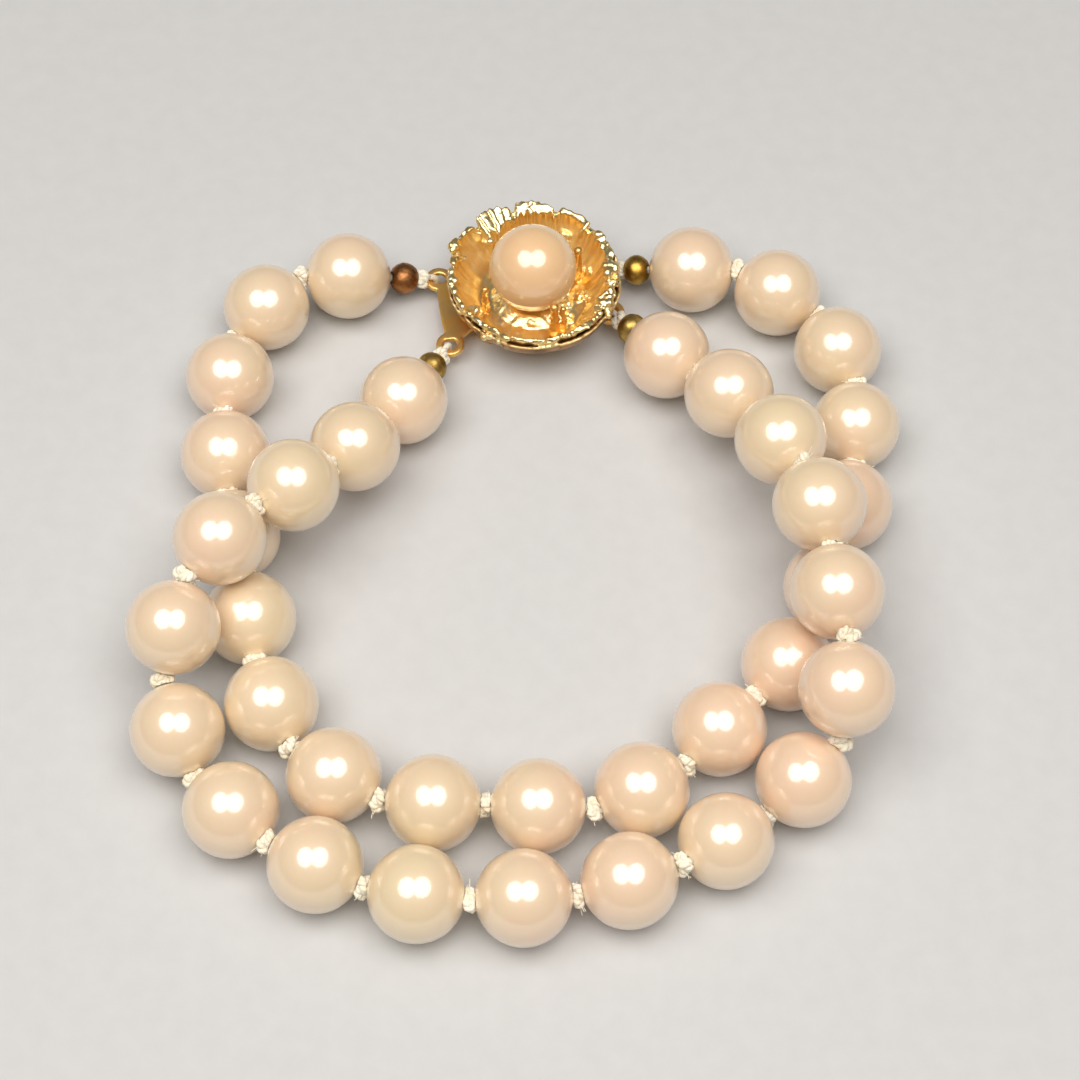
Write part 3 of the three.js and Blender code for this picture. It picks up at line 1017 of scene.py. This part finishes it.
        # Thin bright edge of the dish, which the petals are cast onto
        turns = [t * pi / 6 for t in range(13)]
        reach, height = self.dish_reach - 0.04 * MM, self.dish_height + 0.3 * MM
        wire = [(reach + 0.15 * MM * cos(t), height + 0.13 * MM * sin(t)) for t in turns]
        edge = spun("edge", wire, 360)
        reshape(edge, self.scallop)
        lumps = self.nuggets()
        self.lay_back(lumps, cup)
        whole = joined("flower_petals", [cup, edge, *lumps])
        whole.data.transform(self.place.over())
        finish_with(whole, "REMESH", mode="VOXEL", voxel_size=self.cast_grain)
        finish_with(whole, "SMOOTH", factor=0.5, iterations=2)
        finish_with(whole, "DECIMATE", ratio=0.6)
        keep_shell(whole)
        dress(whole, "clasp_flower_box", self.gold)

    def lay_back(self, lumps: Sequence[Piece], cup: Piece) -> None:
        """Moves each nugget that hangs free back along the line of sight until it rests on a petal.

        Args:
            lumps: Cast nuggets.
            cup: Ring of petals with its wall.
        """
        tree = BVHTree.FromObject(cup, bpy.context.evaluated_depsgraph_get())
        for lump in lumps:
            corners = [corner.co for corner in lump.data.vertices]
            middle = sum(corners, Vector()) / len(corners)
            reach = min((corner - middle).length for corner in corners)
            gap = tree.find_nearest(middle)[3]
            fall = tree.ray_cast(middle, self.sight)[3]
            if gap > 0.8 * reach and fall is not None and fall < 3 * MM:
                lump.data.transform(Matrix.Translation(self.sight * (fall - 0.4 * reach)))

    def nuggets(self) -> list[Piece]:
        """Cast nuggets: along the rim where the casting ran, and in a few larger clusters.

        Returns:
            The nuggets as loose lumps that overlap the petals.
        """
        chance = random.Random("cast nuggets")
        deselect_everything()
        bpy.ops.mesh.primitive_ico_sphere_add(subdivisions=3, radius=1)
        template = bpy.context.object
        lumps = []

        def add(angle: float, radius: float, height: float, size: Vector) -> None:
            """Adds one lump, its angle in degrees and its sizes in mm, tipped at random."""
            turned = Matrix.Rotation(radians(angle), 4, "Z")
            tipped = Matrix.Rotation(chance.uniform(-0.5, 0.5), 4, scatter(chance, -1, 1))
            spot = Matrix.Translation((radius * MM, 0, height * MM))
            grown = Matrix.Diagonal((*size * MM, 1))
            lumps.append(copied("nugget", template, turned @ spot @ tipped @ grown))

        # Where the petals' edges melted, and small drops along the near edge
        for angle in (153, 158, 168, 178, 185, 194, 203, 209, 217, 225, 233, 241, 250):
            petal, _ = self.petal_at(angle)
            long = chance.uniform(0.38, 0.72)
            size = Vector((chance.uniform(0.26, 0.4), long, chance.uniform(0.26, 0.36)))
            add(angle, petal.reach - chance.uniform(0.1, 0.3), petal.height + 0.02, size)
        for angle in (259, 272, 288, 296, 309, 318, 325):
            petal, _ = self.petal_at(angle)
            add(angle, petal.reach - 0.25, petal.height - 0.02, scatter(chance, 0.2, 0.3))
        # Clusters: angle, radius, height, spread, count, size
        clusters = (
            (5, 7.3, 6.4, 0.7, 8, 0.46), (341, 7.3, 6.15, 0.6, 7, 0.42), (38, 7.5, 6.6, 0.4, 4, 0.34),
            (156, 8.0, 6.35, 0.4, 4, 0.42), (186, 7.35, 6.2, 0.4, 4, 0.42), (214, 6.4, 5.5, 0.5, 6, 0.34),
            (248, 7.45, 5.4, 0.5, 5, 0.3), (236, 7.4, 5.3, 0.5, 5, 0.3), (333, 7.7, 5.5, 0.55, 6, 0.34),
            (318, 4.2, 3.6, 0.8, 12, 0.28), (352, 4.9, 4.2, 0.7, 7, 0.26), (20, 5.2, 4.0, 0.7, 7, 0.26),
            (58, 5.9, 5.3, 0.5, 6, 0.34), (134, 6.0, 5.7, 0.5, 6, 0.3),
        )
        for angle, radius, height, spread, count, size in clusters:
            for _ in range(count):
                turn = degrees(chance.uniform(-spread, spread) / radius)
                out = radius + chance.uniform(-spread, spread) * 0.8
                each = scatter(chance, 0.7, 1.35) * size
                add(angle + turn, out, height + chance.uniform(-0.1, 0.15), each)
        # Bright fold that runs down from the end of the third petal's lip
        for step in range(7):
            add(47.5, 7.6 - 0.2 * step, 6.72 - 0.085 * step, Vector((0.22, 0.2, 0.24)))
        bpy.data.objects.remove(template)
        return lumps

    def dish(self) -> None:
        """Makes the smooth dish that closes the flower from below, with its thin bright edge."""
        rise = self.dish_height - self.dish_bottom
        rows = [(0.0, self.dish_bottom)]
        for step in range(1, 25):
            angle = pi / 2 * step / 24
            rows.append((self.dish_reach * sin(angle), self.dish_height - rise * cos(angle)))
        # Rolled edge, from the dish's rim, then the inside in mm
        edge = ((0.03, 0.22), (-0.06, 0.4), (-0.22, 0.42), (-0.36, 0.3))
        inside = ((7.5, 5.15), (7.0, 4.45), (6.4, 3.65), (5.3, 2.95), (4.0, 2.62), (0.0, 2.5))
        rows += [(self.dish_reach + out * MM, self.dish_height + up * MM) for out, up in edge]
        rows += [(radius * MM, height * MM) for radius, height in inside]
        dish = spun("flower_dish", rows, 360)
        reshape(dish, self.scallop)
        dish.data.transform(self.place.over())
        # The dish's darker brown gold is a painted dark reflection under the flower
        dress(dish, "clasp_flower_box", self.dark_reflection_gold, 60)

    def scallop(self, corner: Vector) -> Vector:
        """Pushes the dish's edge out and up under each petal.

        Args:
            corner: Corner of the turned dish.

        Returns:
            Its new place.
        """
        share = max(0.0, corner.xy.length / self.dish_reach - 0.6) / 0.4
        petal, across = self.petal_at(degrees(atan2(corner.y, corner.x)) % 360)
        lobe = sin(pi * across) ** 0.7
        ripple = noise(Vector((corner.x, corner.y, 0)).normalized() * 12) * 0.16 * MM
        wanted = (min(petal.reach + 0.2, 8.15) - 0.18 * (1 - lobe)) * MM + ripple
        widen = 1 + share ** 2 * (wanted / self.dish_reach - 1)
        lift = share ** 2 * (1.4 * ripple + 0.12 * MM * lobe)
        return Vector((corner.x * widen, corner.y * widen, corner.z + lift))

    def prongs(self) -> None:
        """Makes the ball-tipped prongs that hold the pearl, one of them with a twin ball."""
        # Angle in degrees, then reach, height and radius of each ball in mm
        balls = ((25, 4.61, 7.3, 0.43), (115, 4.6, 6.6, 0.4), (202, 4.74, 6.3, 0.37),
                 (295, 4.66, 6.85, 0.44), (305, 4.85, 6.3, 0.27))
        parts = []
        for turn, *sizes in balls:
            angle = radians(turn)
            reach, height, radius = (size * MM for size in sizes)
            x = self.place.middle.x + reach * cos(angle)
            y = self.place.middle.y + reach * sin(angle)
            deselect_everything()
            spot = (x, y, height)
            bpy.ops.mesh.primitive_uv_sphere_add(segments=24, ring_count=16, radius=radius, location=spot)
            parts.append(bpy.context.object)
            depth = height - self.floor_height
            deselect_everything()
            bpy.ops.mesh.primitive_cone_add(
                vertices=24, radius1=radius * 1.25, radius2=radius * 0.6, depth=depth,
                location=(x, y, height - depth / 2))
            parts.append(bpy.context.object)
        whole = joined("clasp_prongs", parts)
        settle(whole)
        finish_with(whole, "REMESH", mode="VOXEL", voxel_size=0.06 * MM)

        def beaten(corner: Vector) -> Vector:
            """Pushes the prong's foot about, and leaves its ball round."""
            low = min(1.0, max(0.0, (self.pearl_height - 0.5 * MM - corner.z) / (2 * MM)))
            push = Vector((noise(corner / (0.5 * MM)), noise(corner / (0.5 * MM) + UP * 9), 0))
            return corner + push * 0.22 * MM * low

        reshape(whole, beaten)
        finish_with(whole, "SMOOTH", factor=0.5, iterations=3)
        dress(whole, "clasp_flower_box", self.smooth_gold)

    def box(self) -> None:
        """Makes the clasp's box with its two ears on the right."""
        length, width, height = self.box_size
        body = block((-0.1 * MM, self.place.shift, height / 2), self.box_size)
        with editing(body):
            select(body, "EDGE", lambda spots: abs(spots[0].z - spots[1].z) > height * 0.5)
            bpy.ops.mesh.bevel(offset=2.0 * MM, segments=10, affect="EDGES")
        ears = block((5.95 * MM, self.place.shift, self.place.eye_height), (0.9 * MM, width, self.plate_wall))
        whole = joined("clasp_box", [body, *self.eye_rings(self.place.box_eye), ears])
        whole.data.transform(self.place.matrix())
        finish_with(whole, "BEVEL", width=0.12 * MM, segments=3, limit_method="ANGLE")
        dress(whole, "clasp_flower_box", self.smooth_gold, 40)

    def eye_rings(self, spot: tuple[float, float]) -> list[Piece]:
        """Two flat rings with softened edges that the strands are tied to.

        Args:
            spot: Place along and across the clasp, from the clasp's own middle line.

        Returns:
            The rings, in the clasp's own axes.
        """
        inner, outer, half, soft = 0.62 * MM, 1.32 * MM, self.plate_wall / 2, 0.11 * MM
        rows = [(inner, soft - half), (inner + soft, -half), (outer - soft, -half), (outer, soft - half)]
        rows += [(radius, -height) for radius, height in reversed(rows)] + rows[:1]
        rings = [spun("eye_ring", rows, 48) for _ in range(2)]
        for ring, side in zip(rings, (1, -1)):
            middle = (spot[0], self.place.shift + side * spot[1], self.place.eye_height)
            ring.data.transform(Matrix.Translation(middle))
        return rings

    def tongue(self) -> None:
        """Makes the tongue's outer plate with its two eyes on the left."""
        half = self.place.tongue_eye[1] - 0.5 * MM
        plate = block((self.plate_x, self.place.shift, self.place.eye_height),
                      (2 * self.plate_half, 2 * half, self.plate_wall))
        with editing(plate):
            bpy.ops.mesh.select_all(action="SELECT")
            bpy.ops.mesh.subdivide(number_cuts=24)

        def waisted(corner: Vector) -> Vector:
            """Draws the plate's outer corners in hollow curves into the two rings."""
            along_plate = (corner.y - self.place.shift) / half
            outer = max(0.0, (self.plate_x - corner.x) / self.plate_half)
            inner = max(0.0, (corner.x - self.plate_x) / self.plate_half)
            ends = abs(along_plate) ** 6
            back = (0.25 * (1 - along_plate ** 2) + 0.15 * ends) * outer * MM
            aside = copysign(0.9 * ends * inner * MM, along_plate)
            return Vector((corner.x - back, corner.y - aside, corner.z))

        reshape(plate, waisted)
        whole = joined("clasp_tongue_plate", [plate, *self.eye_rings(self.place.tongue_eye)])
        whole.data.transform(self.place.matrix())
        finish_with(whole, "REMESH", mode="VOXEL", voxel_size=0.07 * MM)
        finish_with(whole, "SMOOTH", factor=0.5, iterations=5)
        dress(whole, "clasp_tongue", self.smooth_gold)

    def pearl(self) -> None:
        """Sets the pearl in the flower, its warm tint a painted reflection of the gold cup."""
        deselect_everything()
        bpy.ops.mesh.primitive_uv_sphere_add(segments=80, ring_count=48, radius=self.pearl_radius)
        pearl = bpy.context.object
        pearl.name = "clasp_pearl_nacre"
        reshape(pearl, lambda corner: corner * (1 + 0.006 * noise(corner / self.pearl_radius + UP * 7)))
        pearl.data.transform(self.place.over(self.pearl_height))
        dress(pearl, "clasp_pearl", self.nacre)

    def build(self) -> None:
        """Builds the whole clasp, piece by piece."""
        for step in (self.flower, self.dish, self.prongs, self.box, self.tongue, self.pearl):
            step()


@dataclass
class Studio:
    """Pale floor, soft lamps and the camera at the photograph's angle."""

    camera_place: tuple[float, float, float] = (1.152 * MM, -112.111 * MM, 190.534 * MM)
    camera_tilt: float = radians(31.24)
    focal_length: float = 83.333
    floor_size: float = 3.0
    lamp_height: float = 0.45
    lamp_spread: float = 0.155
    lamp_shift: float = -0.03
    lamp_near: float = -0.098
    lamp_size: tuple[float, float] = (0.35, 0.42)
    lamp_power: float = 1.5
    lamp_colour: str = "#FFFAF4"
    sky: str = "#FCFAF6"
    sky_strength: float = 0.15

    def floor(self) -> None:
        """Lays the floor under the bracelet."""
        deselect_everything()
        bpy.ops.mesh.primitive_plane_add(size=self.floor_size)
        ground = bpy.context.object
        ground.name = "floor"
        ground.data.materials.append(PaleFloor("painted_board").build())

    def lamps(self) -> None:
        """Hangs two soft lamps above the bracelet and lights the room evenly."""
        for side in (-1, 1):
            light = bpy.data.lights.new(f"lamp_{side + 1}", "AREA")
            light.shape = "ELLIPSE"
            light.size, light.size_y = self.lamp_size
            light.energy = self.lamp_power
            light.color = linear(self.lamp_colour)[:3]
            lamp = bpy.data.objects.new(light.name, light)
            lamp.location = (self.lamp_shift + side * self.lamp_spread, self.lamp_near, self.lamp_height)
            bpy.context.scene.collection.objects.link(lamp)
        world = bpy.data.worlds.new("room")
        world.use_nodes = True
        background = world.node_tree.nodes["Background"].inputs
        background["Color"].default_value = linear(self.sky)
        background["Strength"].default_value = self.sky_strength
        bpy.context.scene.world = world
        # Shows each colour as its hex value says
        bpy.context.scene.view_settings.view_transform = "Standard"

    def camera(self) -> None:
        """Stands the camera where the photograph was taken from."""
        lens = bpy.data.cameras.new("camera")
        lens.lens = self.focal_length
        lens.sensor_width = 36.0
        lens.clip_start = 0.01
        camera = bpy.data.objects.new("camera", lens)
        camera.location = self.camera_place
        camera.rotation_euler = (self.camera_tilt, 0, 0)
        bpy.context.scene.collection.objects.link(camera)
        bpy.context.scene.camera = camera


def main() -> None:
    """Builds the bracelet piece by piece, then the studio."""
    logging.basicConfig(level=logging.INFO, format="%(message)s")
    studio = Studio()
    studio.camera()
    # Ivory with a pink or green cast for the strands, and a warmer copy for the clasp pearl whose apricot
    # tint is a painted reflection of the gold cup
    nacre = Nacre("cultured_pearl_nacre", "#F3DAB9", "#F5D6B8", "#F0DBB6").build()
    gold_reflection_nacre = Nacre("pearl_nacre_painted_gold_reflection", "#FAD7A6", "#FACF9E", "#F7D296").build()
    silk = KnottedSilk("knotted_silk").build()
    # Brass that has gone olive, one that the sleeve keeps rubbed, one that has gone brown
    brass = Metal("aged_brass", "#C8AA62", "#8E713A", 0.34, 0.5, 1.2, 0.5, 0.03).build()
    rubbed = Metal("rubbed_brass", "#C8A04C", "#94722F", 0.32, 0.45, 1.2, 0.5, 0.03).build()
    brown = Metal("tarnished_brass", "#B07A4A", "#6E4B30", 0.38, 0.5, 1.0, 0.4, 0.06).build()
    # Plate that gives broken bright lights on the petals and soft ones on plates, and a darker brown copy
    # below whose colour is a painted dark reflection
    gold = CastGold("cast_gold_plate", "#FFECB6", "#FADA98", 0.29, 0.48, 1.3, 0.6, 0.05).build()
    smooth_gold = Metal("polished_gold_plate", "#FFD488", "#F6BE66", 0.34, 0.46, 3.0, 1.2, 0.008).build()
    dark_reflection_gold = Metal("gold_plate_painted_dark", "#B89064", "#80603F", 0.26, 0.38, 2.5, 1.2, 0.01).build()

    place = ClaspPlace()
    strands = [PearlStrand(name, place.eye(place.tongue_eye, side), place.eye(place.box_eye, side), dented)
               for name, side, dented in (("a", 1, "left"), ("b", -1, ""))]
    first = strands[0]
    pearl = drilled_ball("pearl", first.radius, first.radius, first.hole, 64, 25)
    bead = drilled_ball("bead", first.bead_radius, first.bead_half, first.bead_hole, 40, 9)
    for strand, finishes in zip(strands, ((brown, rubbed), (brass, brass))):
        strand.pearls(pearl, nacre)
        strand.silk(silk)
        strand.end_beads(bead, finishes)
    bpy.data.objects.remove(pearl)
    bpy.data.objects.remove(bead)
    FlowerClasp(place, gold, smooth_gold, dark_reflection_gold, gold_reflection_nacre).build()

    studio.floor()
    studio.lamps()


if __name__ == "__main__":
    main()
